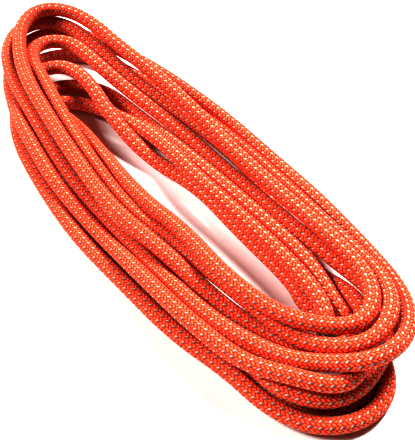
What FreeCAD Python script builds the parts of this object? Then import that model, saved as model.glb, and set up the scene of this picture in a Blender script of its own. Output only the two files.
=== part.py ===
"""Dynamic climbing rope, hand-coiled: a braided sheath over twelve core strands, with an end
sleeve and a fused tip at both ends, lying on the floor as a loose coil of eight turns.

Millimetres. X runs along the coil, from its far bend to its near bend. Y runs across it, from
the left leg to the right leg. Z is up, and the floor is z = 0 under the middle of the coil.
"""
import FreeCAD, Part
import math
import os

import Sketcher

# Sizes
SIZES = [
    ("rope_diameter", 10.0, "outside of the sheath"),
    ("sheath_wall", 1.0, "thickness of the braided sheath"),
    ("core_clearance", 0.12, "least space around a core strand"),
    ("straight_leg_length", 200.0, "the coil between its two bends"),
    ("loop_gap", 0.8, "least space between neighbouring loops"),
    ("resting_flat", 0.5, "how far the bottom of the coil is pressed flat"),
    ("sleeve_length", 14.0, "end sleeve along the rope"),
    ("sleeve_wall", 0.5, "thickness of the end sleeve"),
    ("sleeve_clearance", 0.15, "between the sheath and the end sleeve"),
    ("sleeve_setback", 3.0, "bare sheath between the fused tip and the end sleeve"),
    ("tip_length", 2.5, "fused tip along the rope"),
    ("tip_edge_radius", 1.2, "rounded rim of the fused tip"),
]
INNER_STRANDS = 3
OUTER_STRANDS = 9

# Stations of the rope, read from the photograph, in rope diameters: along, across, height.
# The far and near bends are measured from the ends of the straight legs, at -10 and 10.
# Each block is one turn: right leg, far bend, left leg, near bend.
TURNS = [
    [(17.0, 1.2, 0.6), (15.3, 2.3, 1.05), (13.6, 3.4, 1.5), (10, 3.65, 1.55), (5, 3.1, 1.55),
     (0, 2.45, 1.55), (-4, 2.3, 1.2), (-7.5, 1.8, 0.7), (-10.5, 0.5, 0.5), (-12.2, -0.7, 0.5),
     (-13.1, -2.1, 0.5), (-12.8, -3.4, 0.5), (-11.5, -4.1, 0.5), (-9.3, -4.0, 0.5),
     (-5, -3.0, 0.5), (0, -2.0, 0.5),
     (5, -1.8, 0.5), (10, -2.4, 0.5), (13.9, -2.6, 1.2), (17.2, -2.0, 1.5), (19.1, -0.2, 1.4),
     (19.3, 2.1, 1.3), (18.1, 4.5, 1.2)],
    [(16.6, 6.3, 1.1), (14.2, 6.7, 1.3), (10, 5.9, 1.5), (5, 5.3, 1.2), (0, 4.6, 0.9),
     (-5, 3.7, 1.1), (-10.4, 2.6, 1.5), (-13.0, 1.9, 2.1), (-15.3, 1.35, 2.4), (-16.9, 0.75, 2.5),
     (-17.7, -0.6, 2.6), (-17.2, -2.0, 2.7), (-15.5, -2.75, 2.75), (-13.2, -2.9, 2.7), (-10, -3.1, 2.5),
     (-5, -3.15, 2.0), (0, -2.8, 1.5), (4, -1.95, 1.5), (8, -1.35, 1.7), (12.0, -0.6, 2.0),
     (15.0, 0.35, 2.1), (17.0, 2.1, 2.2), (17.5, 4.2, 2.3), (16.3, 6.2, 2.3), (13.8, 7.35, 1.9)],
    [(10, 7.4, 1.6), (5, 7.35, 1.2), (0, 7.15, 0.8), (-5, 6.5, 0.7), (-10, 5.4, 0.6),
     (-13.0, 4.4, 0.5), (-15.9, 3.2, 0.5), (-18.0, 1.2, 0.5), (-18.5, -1.2, 0.5),
     (-17.1, -3.4, 0.5), (-13.6, -5.1, 0.5), (-10, -6.2, 0.5), (-5, -6.6, 0.5), (0, -6.45, 0.5),
     (5, -5.75, 0.5), (10, -4.85, 0.5), (14.0, -3.6, 0.5), (17.3, -2.75, 0.5), (19.7, -1.25, 0.5),
     (20.7, 1.1, 0.5), (20.1, 3.3, 0.5), (18.2, 4.6, 0.5)],
    [(16.0, 4.7, 0.7), (13.8, 4.4, 1.3), (10, 4.7, 1.5), (5, 4.2, 1.5), (0, 3.56, 1.4),
     (-5, 3.0, 0.9), (-9.4, 2.4, 0.5), (-12.3, 1.5, 0.6), (-14.1, -0.1, 0.6), (-14.7, -2.1, 0.6),
     (-13.9, -4.0, 0.5), (-11.9, -4.9, 0.5), (-9.3, -5.0, 0.5), (-5, -4.4, 0.5), (0, -3.2, 0.5),
     (5, -2.95, 0.5), (10, -3.45, 0.5), (13.8, -2.8, 0.5), (17.0, -1.9, 0.5), (19.1, 0.0, 0.5),
     (19.6, 1.9, 0.5), (18.2, 3.4, 0.5)],
    [(15.5, 3.6, 0.5), (12.4, 3.2, 0.5), (10, 3.35, 0.5), (5, 2.9, 0.5), (0, 2.4, 0.5),
     (-4.5, 1.1, 0.5), (-8.7, 0.3, 1.4), (-12.4, 0.2, 2.0), (-14.9, -0.5, 2.0), (-15.6, -2.2, 1.9),
     (-14.6, -3.6, 1.7), (-12.4, -3.5, 1.5), (-9.0, -2.55, 1.5), (-5, -2.3, 1.5), (0, -2.05, 1.6),
     (5, -1.5, 2.3), (10, -1.15, 3.0), (13.75, 0.08, 3.0), (15.95, 2.05, 3.0), (16.5, 3.9, 3.0),
     (15.5, 5.5, 2.9), (13.3, 6.4, 2.7)],
    [(10, 6.4, 2.6), (5, 5.95, 2.4), (0, 5.5, 2.3), (-5, 5.05, 2.6), (-10, 4.4, 2.9),
     (-13.8, 3.7, 3.0), (-17.3, 3.1, 3.1), (-19.8, 2.0, 3.2), (-20.9, 0.2, 3.2), (-20.0, -1.6, 3.1),
     (-17.6, -2.9, 2.9), (-14.4, -3.75, 2.6), (-10, -4.1, 2.2), (-5, -4.2, 1.8),
     (0, -4.05, 1.4), (5, -3.1, 1.3), (10, -1.85, 1.1), (13.5, -0.45, 1.0), (15.8, 1.3, 1.2),
     (16.6, 3.2, 1.5), (15.6, 4.8, 1.5), (13.2, 5.4, 1.0)],
    [(10, 5.2, 0.5), (5, 5.8, 0.9), (0, 5.96, 1.3), (-5, 4.7, 1.8), (-10, 3.2, 2.2),
     (-13.2, 2.6, 2.4), (-16.1, 2.2, 2.6), (-18.6, 1.5, 2.7), (-20.2, 0.0, 2.7), (-20.5, -2.0, 2.2),
     (-18.9, -3.5, 1.9), (-16.4, -4.3, 1.8), (-13.2, -4.7, 1.7), (-10, -4.9, 1.55),
     (-5, -4.9, 1.0), (0, -4.3, 0.5), (5, -3.65, 1.0), (10, -3.0, 1.5), (13.2, -2.2, 1.6),
     (15.8, -0.85, 1.7), (17.7, 0.9, 2.0), (18.9, 2.9, 2.4), (18.6, 5.2, 2.3), (17.1, 7.0, 2.0),
     (14.3, 8.3, 1.4)],
    [(10, 8.85, 0.8), (5, 8.75, 0.7), (0, 8.3, 0.6), (-5, 7.65, 0.7), (-10, 6.6, 0.8),
     (-13.2, 5.35, 1.2), (-16.4, 3.8, 1.6), (-18.8, 1.8, 1.8), (-19.7, -0.6, 1.9),
     (-18.8, -2.9, 1.7), (-16.2, -4.5, 1.5), (-13.1, -5.3, 1.5), (-10, -5.75, 1.6),
     (-5, -5.85, 1.0), (0, -5.3, 0.5), (5, -4.75, 1.0), (10, -4.1, 1.4), (14.3, -2.9, 1.4),
     (16.8, -1.2, 1.6), (18.4, 0.3, 1.7), (18.9, 1.8, 1.6), (18.05, 3.6, 1.5), (17.2, 5.4, 1.5)],
]
LEG_IN_DIAMETERS = 20.0
FIT_ROUNDS = 6

# Settling of the loops onto each other and onto the floor
SETTLE_ROUNDS = 240
EVEN_ROUNDS = 125
SAMPLES_PER_STATION = 10
NEIGHBOUR_DISTANCE = 4.5
SLACK = 0.02
CROSSING = 0.3
EASE = 0.35
EVEN_SHARE = 0.35
RETURN_ASIDE = 0.30
RETURN_AHEAD = 0.01
PUSH = 1.2
FINE = 40

# Where the photograph was taken from, in rope diameters
VIEWPOINT = (43.6, -21.9, 49.0)


# Vectors as plain triples
def add(a, b):
    return (a[0] + b[0], a[1] + b[1], a[2] + b[2])


def sub(a, b):
    return (a[0] - b[0], a[1] - b[1], a[2] - b[2])


def scaled(a, factor):
    return (a[0] * factor, a[1] * factor, a[2] * factor)


def dot(a, b):
    return a[0] * b[0] + a[1] * b[1] + a[2] * b[2]


def cross(a, b):
    return (a[1] * b[2] - a[2] * b[1], a[2] * b[0] - a[0] * b[2], a[0] * b[1] - a[1] * b[0])


def length(a):
    return math.sqrt(dot(a, a))


def unit(a):
    return scaled(a, 1.0 / length(a))


def between(a, b, share):
    return add(scaled(a, 1.0 - share), scaled(b, share))


# Route of the middle line of the rope
def stations(rope, leg):
    """Stations in millimetres; a longer leg moves the two bends apart."""
    stretch = (leg - LEG_IN_DIAMETERS * rope) / 2.0
    points = []
    for turn in TURNS:
        for along, across, height in turn:
            side = max(-1.0, min(1.0, 2.0 * along / LEG_IN_DIAMETERS))
            points.append((along * rope + side * stretch, across * rope, height * rope))
    return points


def straight_ends(points):
    """The second point from each end lies midway, so that the rope starts and ends straight."""
    points[1] = between(points[0], points[2], 0.5)
    points[-2] = between(points[-1], points[-3], 0.5)


def route_through(points):
    """Points of the route whose smooth line passes by the stations."""
    route = list(points)
    for fit in range(FIT_ROUNDS):
        old = list(route)
        for i in range(1, len(points) - 1):
            reached = add(scaled(old[i], 0.75), scaled(add(old[i - 1], old[i + 1]), 0.125))
            route[i] = add(old[i], sub(points[i], reached))
        straight_ends(route)
    return route


def bend_ends(route):
    """The smooth line bends once at each inner point of the route, and each bend starts and ends
    in the middle between two points; the first starts and the last ends at the rope's end."""
    middles = [between(a, b, 0.5) for a, b in zip(route[1:-2], route[2:-1])]
    return [route[0]] + middles + [route[-1]]


def line_points(route, count):
    """Points along the smooth line, each with its bend's number and the weights of the route's
    points before, at and after the bend, and its distance from the start."""
    ends = bend_ends(route)
    result = []
    last = len(route) - 2
    for bend in range(1, len(route) - 1):
        for k in range(count + (bend == last)):
            share = k / count
            before = (1.0 - share) ** 2 * (1.0 if bend == 1 else 0.5)
            after = share ** 2 * (1.0 if bend == last else 0.5)
            point = add(add(scaled(ends[bend - 1], (1.0 - share) ** 2), scaled(ends[bend], share ** 2)),
                        scaled(route[bend], 2.0 * share * (1.0 - share)))
            distance = 0.0
            if result:
                distance = result[-1][3] + length(sub(point, result[-1][0]))
            result.append((point, bend, (before, 1.0 - before - after, after), distance))
    return result


def joint_of_two_arcs(start, start_tangent, end, end_tangent):
    """Point and tangent where two arcs meet that leave start and reach end along the tangents."""
    chord = sub(end, start)
    both = add(start_tangent, end_tangent)
    a = 2.0 * (1.0 - dot(start_tangent, end_tangent))
    b = 2.0 * dot(chord, both)
    c = -dot(chord, chord)
    if abs(a) < 1e-9:
        reach = -c / b
    else:
        reach = (-b + math.sqrt(b * b - 4.0 * a * c)) / (2.0 * a)
    near = add(start, scaled(start_tangent, reach))
    far = sub(end, scaled(end_tangent, reach))
    return between(near, far, 0.5), unit(sub(far, near))


def make_arc(start, tangent, end):
    """An arc as a dictionary: start, tangent, end, and for a curved one its centre, axis and turn."""
    chord = sub(end, start)
    reach = length(chord)
    cosine = max(-1.0, min(1.0, dot(chord, tangent) / reach))
    half = math.acos(cosine)
    arc = {"start": start, "tangent": tangent, "end": end, "turn": 0.0, "length": reach}
    if half > 1e-5:
        radius = reach / (2.0 * math.sin(half))
        inward = unit(sub(chord, scaled(tangent, dot(chord, tangent))))
        arc["centre"] = add(start, scaled(inward, radius))
        arc["axis"] = cross(tangent, inward)
        arc["turn"] = 2.0 * half
        arc["radius"] = radius
        arc["length"] = radius * 2.0 * half
    return arc


def turned(vector, axis, angle):
    """A vector turned about an axis of unit length."""
    c, s = math.cos(angle), math.sin(angle)
    return add(add(scaled(vector, c), scaled(cross(axis, vector), s)), scaled(axis, dot(axis, vector) * (1.0 - c)))


def point_on_arc(arc, share, offset=(0.0, 0.0, 0.0)):
    """A point on the arc, moved by an offset that turns with the arc."""
    if arc["turn"] == 0.0:
        return add(between(arc["start"], arc["end"], share), offset)
    spoke = add(sub(arc["start"], arc["centre"]), offset)
    return add(arc["centre"], turned(spoke, arc["axis"], arc["turn"] * share))


def arcs_along(route):
    """Two arcs for each bend of the smooth line, in one unbroken line."""
    ends = bend_ends(route)
    arcs = []
    for bend in range(1, len(route) - 1):
        start, end = ends[bend - 1], ends[bend]
        first, last = unit(sub(route[bend], start)), unit(sub(end, route[bend]))
        joint, tangent = joint_of_two_arcs(start, first, end, last)
        arcs.append(make_arc(start, first, joint))
        arcs.append(make_arc(joint, tangent, end))
    return arcs


def close_pairs(line, reach, apart):
    """Pairs of points of the line nearer than reach, and farther than apart along the rope."""
    cells = {}
    for n, (here, bend, weights, distance) in enumerate(line):
        cell = tuple(int(math.floor(value / reach)) for value in here)
        cells.setdefault(cell, []).append(n)
    around = [(dx, dy, dz) for dx in (-1, 0, 1) for dy in (-1, 0, 1) for dz in (-1, 0, 1)]
    pairs = []
    for n, (here, bend, weights, distance) in enumerate(line):
        x, y, z = (int(math.floor(value / reach)) for value in here)
        for dx, dy, dz in around:
            for m in cells.get((x + dx, y + dy, z + dz), ()):
                if m > n and line[m][3] - distance > apart:
                    gap = sub(here, line[m][0])
                    if dot(gap, gap) < reach * reach:
                        pairs.append((n, m))
    return pairs


def settle(home, rope, gap, sleeve_reach, sleeve_room, sleeve_floor):
    """Push the loops apart, mostly along the line of sight of the photograph, until no two
    stretches are nearer than the rope and its gap. The lower loop gives way less than the upper
    one. A loop that was pushed aside returns to its line of sight."""
    sights = [unit(sub(scaled(VIEWPOINT, rope), point)) for point in home]
    route = list(home)
    count = len(route)
    for turn in range(SETTLE_ROUNDS):
        line = line_points(route, SAMPLES_PER_STATION)
        total = line[-1][3]
        moves = [(0.0, 0.0, 0.0)] * count
        weights = [0.0] * count
        worst = 0.0

        def push_point(number, move):
            for index, weight in zip(range(line[number][1] - 1, line[number][1] + 2), line[number][2]):
                moves[index] = add(moves[index], scaled(move, weight))
                weights[index] += weight

        for n, m in close_pairs(line, rope + gap + sleeve_room, NEIGHBOUR_DISTANCE * rope):
            need = rope + gap
            if min(line[n][3], total - line[m][3]) < sleeve_reach:
                need += sleeve_room
            way = sub(line[n][0], line[m][0])
            apart = length(way)
            short = need - apart
            if short <= 0.0:
                continue
            worst = max(worst, short)
            lean = sights[line[n][1]]
            if apart < CROSSING * rope:
                upward = home[line[n][1]][2] >= home[line[m][1]][2]
                way = scaled(lean, 1.0 if upward else -1.0)
            else:
                way = scaled(way, 1.0 / apart)
            push = add(scaled(way, EASE), scaled(lean, (1.0 - EASE) * dot(way, lean)))
            push = scaled(push, short / dot(push, way))
            upper = 0.5 + 0.25 * min(1.0, 1.5 * abs(way[2]))
            share = upper if way[2] > 0.0 else 1.0 - upper
            push_point(n, scaled(push, share))
            push_point(m, scaled(push, share - 1.0))
        for n, (here, bend, parts, distance) in enumerate(line):
            sleeved = min(distance, total - distance) < sleeve_reach
            short = (sleeve_floor if sleeved else rope / 2.0) - here[2]
            if short > 0.0:
                worst = max(worst, short)
                push_point(n, (0.0, 0.0, short))
        for i in range(count):
            if weights[i] > 0.0:
                route[i] = add(route[i], scaled(moves[i], PUSH / weights[i]))
        if turn < EVEN_ROUNDS:
            shifts = [sub(point, start) for point, start in zip(route, home)]
            for i in range(1, count - 1):
                even = between(shifts[i - 1], shifts[i + 1], 0.5)
                shift = add(shifts[i], scaled(sub(even, shifts[i]), EVEN_SHARE))
                ahead = scaled(sights[i], dot(shift, sights[i]))
                aside = sub(shift, ahead)
                route[i] = add(home[i], add(scaled(ahead, 1.0 - RETURN_AHEAD), scaled(aside, 1.0 - RETURN_ASIDE)))
        straight_ends(route)
        if worst < SLACK:
            break
    return route


def centred(route, depth):
    """The route moved so that the origin is on the floor under the middle of the coil, and down
    by the depth of the pressed flat."""
    line = [point for point, bend, weights, distance in line_points(route, FINE)]
    middle = [(min(p[axis] for p in line) + max(p[axis] for p in line)) / 2.0 for axis in (0, 1)]
    return [sub(point, (middle[0], middle[1], depth)) for point in route]


def least_gap(route, rope):
    """Least space between two stretches of the rope, measured on points, and the rope's length."""
    line = line_points(route, FINE)
    reach = 1.3 * rope
    best = reach
    for n, m in close_pairs(line, reach, NEIGHBOUR_DISTANCE * rope):
        best = min(best, length(sub(line[n][0], line[m][0])))
    return best - rope, line[-1][3]


# Solids along the route
def vector(a):
    return FreeCAD.Vector(a[0], a[1], a[2])


def last_tangent(arc):
    if arc["turn"] == 0.0:
        return arc["tangent"]
    return turned(arc["tangent"], arc["axis"], arc["turn"])


def offset_wire(arcs, radius, angle):
    """A line at a fixed place in the section of the rope, without twist, as one wire of arcs."""
    tangent = arcs[0]["tangent"]
    side = unit(cross((0.0, 0.0, 1.0), tangent))
    up = cross(tangent, side)
    offset = add(scaled(side, radius * math.cos(angle)), scaled(up, radius * math.sin(angle)))
    edges = []
    for arc in arcs:
        start = vector(point_on_arc(arc, 0.0, offset))
        end = vector(point_on_arc(arc, 1.0, offset))
        if arc["turn"] == 0.0:
            edges.append(Part.makeLine(start, end))
            continue
        middle = vector(point_on_arc(arc, 0.5, offset))
        edges.append(Part.Arc(start, middle, end).toShape())
        offset = turned(offset, arc["axis"], arc["turn"])
    return Part.Wire(edges)


def pipe_along(arcs, radius, angle, pipe_radius):
    """A round solid along the route, at a fixed place in the section of the rope."""
    wire = offset_wire(arcs, radius, angle)
    start = wire.OrderedVertexes[0].Point
    pipe = Part.BRepOffsetAPI.MakePipeShell(wire)
    pipe.add(Part.Wire([Part.makeCircle(pipe_radius, start, vector(arcs[0]["tangent"]))]))
    pipe.build()
    pipe.makeSolid()
    return pipe.shape()


def sheath_shape(arcs, rope_radius, wall):
    """The hollow sheath, pressed flat where it lies on the floor."""
    outside = pipe_along(arcs, 0.0, 0.0, rope_radius)
    bore = pipe_along(arcs, 0.0, 0.0, rope_radius - wall)
    bounds = outside.BoundBox
    corner = FreeCAD.Vector(bounds.XMin - rope_radius, bounds.YMin - rope_radius, -2.0 * rope_radius)
    floor = Part.makeBox(bounds.XLength + 2.0 * rope_radius, bounds.YLength + 2.0 * rope_radius,
                         2.0 * rope_radius, corner)
    pressed = outside.cut(floor)
    return pressed.cut(bore).Solids[0]


# Document
def fill_sheet(document):
    sheet = document.addObject("Spreadsheet::Sheet", "Sizes")
    for row, (name, value, meaning) in enumerate(SIZES, start=1):
        sheet.set("A%d" % row, name)
        sheet.set("B%d" % row, str(value))
        sheet.set("C%d" % row, meaning)
        sheet.setAlias("B%d" % row, name)
    derived = [
        ("bore_radius", "=rope_diameter / 2 - sheath_wall"),
        ("core_strand_radius", "=(sqrt(3) * (bore_radius - 2 * core_clearance) - core_clearance) / (2 + 3 * sqrt(3))"),
        ("outer_ring_radius", "=bore_radius - core_clearance - core_strand_radius"),
        ("inner_ring_radius", "=outer_ring_radius - 2 * core_strand_radius - core_clearance"),
        ("sleeve_bore_radius", "=rope_diameter / 2 + sleeve_clearance"),
        ("sleeve_radius", "=sleeve_bore_radius + sleeve_wall"),
    ]
    for row, (name, formula) in enumerate(derived, start=len(SIZES) + 2):
        sheet.set("A%d" % row, name)
        sheet.set("B%d" % row, formula)
        sheet.setAlias("B%d" % row, name)
    document.recompute()
    return sheet


def add_feature(document, name, shape):
    feature = document.addObject("Part::Feature", name)
    feature.Label = name
    feature.Shape = shape
    feature.Placement = FreeCAD.Placement()
    return feature


def origin_plane(body, role):
    for feature in body.Origin.OriginFeatures:
        if feature.Role == role:
            return feature


def line(a, b):
    return Part.LineSegment(FreeCAD.Vector(a[0], a[1], 0), FreeCAD.Vector(b[0], b[1], 0))


def bind(sketch, kind, arguments, value, expression):
    index = sketch.addConstraint(Sketcher.Constraint(kind, *arguments, value))
    sketch.setExpression("Constraints[%d]" % index, expression)


def join_edges(sketch, count, smooth=()):
    """Join each edge's end to the next one's start, in the smooth corners without a kink."""
    for edge in range(count):
        kind = "Tangent" if edge in smooth else "Coincident"
        sketch.addConstraint(Sketcher.Constraint(kind, edge, 2, (edge + 1) % count, 1))


def new_body(document, name):
    body = document.addObject("PartDesign::Body", name)
    body.Label = name
    sketch = body.newObject("Sketcher::SketchObject", name + "_section")
    sketch.AttachmentSupport = [(origin_plane(body, "XZ_Plane"), "")]
    sketch.MapMode = "FlatFace"
    return body, sketch


def revolve(body, sketch, name):
    turn = body.newObject("PartDesign::Revolution", name + "_turned")
    turn.Profile = sketch
    turn.ReferenceAxis = (sketch, ["V_Axis"])
    turn.Angle = 360.0
    sketch.Visibility = False


def add_sleeve(document, name, sheet):
    """Heat-shrunk tube around the sheath: its wall's section turned about the rope's line."""
    body, sketch = new_body(document, name)
    inner, outer, high = sheet.sleeve_bore_radius, sheet.sleeve_radius, sheet.sleeve_length
    corners = [(inner, 0), (outer, 0), (outer, high), (inner, high)]
    for i in range(4):
        sketch.addGeometry(line(corners[i], corners[(i + 1) % 4]), False)
    join_edges(sketch, 4)
    for edge, kind in enumerate(("Horizontal", "Vertical", "Horizontal", "Vertical")):
        sketch.addConstraint(Sketcher.Constraint(kind, edge))
    sketch.addConstraint(Sketcher.Constraint("PointOnObject", 0, 1, -1))
    bind(sketch, "DistanceX", (-1, 1, 0, 1), inner, "Sizes.sleeve_bore_radius")
    bind(sketch, "DistanceX", (-1, 1, 0, 2), outer, "Sizes.sleeve_radius")
    bind(sketch, "DistanceY", (1, 1, 1, 2), high, "Sizes.sleeve_length")
    revolve(body, sketch, name)
    return body


def add_tip(document, name, sheet):
    """Sheath and core melted together at the cut: a disc with a rounded rim."""
    body, sketch = new_body(document, name)
    radius, high, rim = sheet.rope_diameter / 2.0, sheet.tip_length, sheet.tip_edge_radius
    sketch.addGeometry(line((0, 0), (radius, 0)), False)
    sketch.addGeometry(line((radius, 0), (radius, high - rim)), False)
    round_rim = Part.Circle(FreeCAD.Vector(radius - rim, high - rim, 0), FreeCAD.Vector(0, 0, 1), rim)
    sketch.addGeometry(Part.ArcOfCircle(round_rim, 0.0, math.pi / 2.0), False)
    sketch.addGeometry(line((radius - rim, high), (0, high)), False)
    sketch.addGeometry(line((0, high), (0, 0)), False)
    join_edges(sketch, 5, smooth=(1, 2))
    sketch.addConstraint(Sketcher.Constraint("Coincident", 0, 1, -1, 1))
    for edge, kind in ((0, "Horizontal"), (1, "Vertical"), (3, "Horizontal"), (4, "Vertical")):
        sketch.addConstraint(Sketcher.Constraint(kind, edge))
    bind(sketch, "DistanceX", (0, 1, 0, 2), radius, "Sizes.rope_diameter / 2")
    bind(sketch, "DistanceY", (4, 2, 4, 1), high, "Sizes.tip_length")
    bind(sketch, "Radius", (2,), rim, "Sizes.tip_edge_radius")
    revolve(body, sketch, name)
    return body


def place(body, foot, outward):
    """Put a turned piece on the rope's line, with its own Z pointing out of the rope's end."""
    turn = FreeCAD.Rotation(FreeCAD.Vector(0, 0, 1), vector(outward))
    body.Placement = FreeCAD.Placement(vector(foot), turn)


def export(features):
    os.makedirs("parts", exist_ok=True)
    for feature in features:
        shape = feature.Shape
        if shape.isNull() or not shape.isValid() or len(shape.Solids) != 1:
            raise ValueError("bad shape: " + feature.Label)
        shape.exportStep("parts/%s.step" % feature.Label)
        print("%-16s volume %.1f faces %d" % (feature.Label, shape.Volume, len(shape.Faces)))


def main():
    document = FreeCAD.newDocument("ClimbingRope")
    sheet = fill_sheet(document)
    rope = sheet.rope_diameter
    sleeve_room = sheet.sleeve_radius - rope / 2.0
    sleeve_reach = sheet.tip_length + sheet.sleeve_setback + sheet.sleeve_length
    sleeve_floor = sheet.sleeve_radius + sheet.resting_flat + sheet.sleeve_clearance

    home = route_through(stations(rope, sheet.straight_leg_length))
    settled = settle(home, rope, sheet.loop_gap, sleeve_reach, sleeve_room, sleeve_floor)
    route = centred(settled, sheet.resting_flat)
    arcs = arcs_along(route)
    gap, total = least_gap(route, rope)
    radii = sorted(arc["radius"] for arc in arcs if arc["turn"] > 0.0)
    print("least gap of the rope to itself %.3f mm, length %.1f mm, tightest bend %.1f mm" % (gap, total, radii[0]))

    # The cut faces of the rope are a tip's length in from the two ends of the line.
    outward = [scaled(arcs[0]["tangent"], -1.0), last_tangent(arcs[-1])]
    ends = [arcs[0]["start"], arcs[-1]["end"]]
    cuts = [sub(end, scaled(way, sheet.tip_length)) for end, way in zip(ends, outward)]
    arcs[0]["start"] = cuts[0]
    arcs[-1]["end"] = cuts[1]

    features = [add_feature(document, "rope_sheath", sheath_shape(arcs, rope / 2.0, sheet.sheath_wall))]
    number = 0
    for count, ring in ((INNER_STRANDS, sheet.inner_ring_radius), (OUTER_STRANDS, sheet.outer_ring_radius)):
        for place_in_ring in range(count):
            number += 1
            angle = 2.0 * math.pi * place_in_ring / count
            strand = pipe_along(arcs, ring, angle, sheet.core_strand_radius)
            features.append(add_feature(document, "core_strand_%02d" % number, strand))
    for letter, cut, way in zip("ab", cuts, outward):
        sleeve = add_sleeve(document, "end_sleeve_" + letter, sheet)
        tip = add_tip(document, "fused_tip_" + letter, sheet)
        place(sleeve, sub(cut, scaled(way, sheet.sleeve_setback + sheet.sleeve_length)), way)
        place(tip, cut, way)
        features += [sleeve, tip]
    document.recompute()
    for item in document.Objects:
        if "Invalid" in item.State or "Error" in item.State:
            raise ValueError("bad object: " + item.Name)
    export(features)


main()
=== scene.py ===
"""Looks of the hand-coiled climbing rope. The sheath is one braided tube along the same line as the
CAD rope, with its yarns as relief. Metres; the route is worked out in millimetres, as in the CAD."""
import collections
import math

import bpy
import numpy as np
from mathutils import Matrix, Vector


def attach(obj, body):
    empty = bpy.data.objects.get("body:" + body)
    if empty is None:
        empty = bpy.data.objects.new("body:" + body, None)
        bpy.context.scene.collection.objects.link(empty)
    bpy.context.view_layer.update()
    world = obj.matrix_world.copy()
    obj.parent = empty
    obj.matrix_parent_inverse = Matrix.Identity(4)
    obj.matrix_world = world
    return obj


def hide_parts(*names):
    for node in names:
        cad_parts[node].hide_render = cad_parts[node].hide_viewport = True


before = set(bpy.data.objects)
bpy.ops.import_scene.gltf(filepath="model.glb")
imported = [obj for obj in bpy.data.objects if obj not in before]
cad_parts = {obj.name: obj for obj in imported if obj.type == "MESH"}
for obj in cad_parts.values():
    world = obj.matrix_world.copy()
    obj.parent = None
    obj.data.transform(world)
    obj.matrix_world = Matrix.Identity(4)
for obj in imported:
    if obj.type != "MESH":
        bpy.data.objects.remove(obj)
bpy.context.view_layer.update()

MM = 0.001

# Sizes of the rope, in millimetres, as in the CAD
ROPE = 10.0
LEG = 200.0
LOOP_GAP = 0.8
RESTING_FLAT = 0.5
SLEEVE_LENGTH = 14.0
SLEEVE_WALL = 0.5
SLEEVE_CLEARANCE = 0.15
SLEEVE_SETBACK = 3.0
TIP_LENGTH = 2.5
BORE_RADIUS = 4.0
CORE_CLEARANCE = 0.12
INNER_STRANDS = 3
OUTER_STRANDS = 9

# What follows from them for the sleeves: their bore and outside, how far they reach from the
# rope's end, the room that they take beside the rope, and how high its middle line lies in them
SLEEVE_BORE = ROPE / 2.0 + SLEEVE_CLEARANCE
SLEEVE_RADIUS = SLEEVE_BORE + SLEEVE_WALL
SLEEVE_REACH = TIP_LENGTH + SLEEVE_SETBACK + SLEEVE_LENGTH
SLEEVE_ROOM = SLEEVE_RADIUS - ROPE / 2.0
SLEEVE_FLOOR = SLEEVE_RADIUS + RESTING_FLAT + SLEEVE_CLEARANCE

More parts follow.
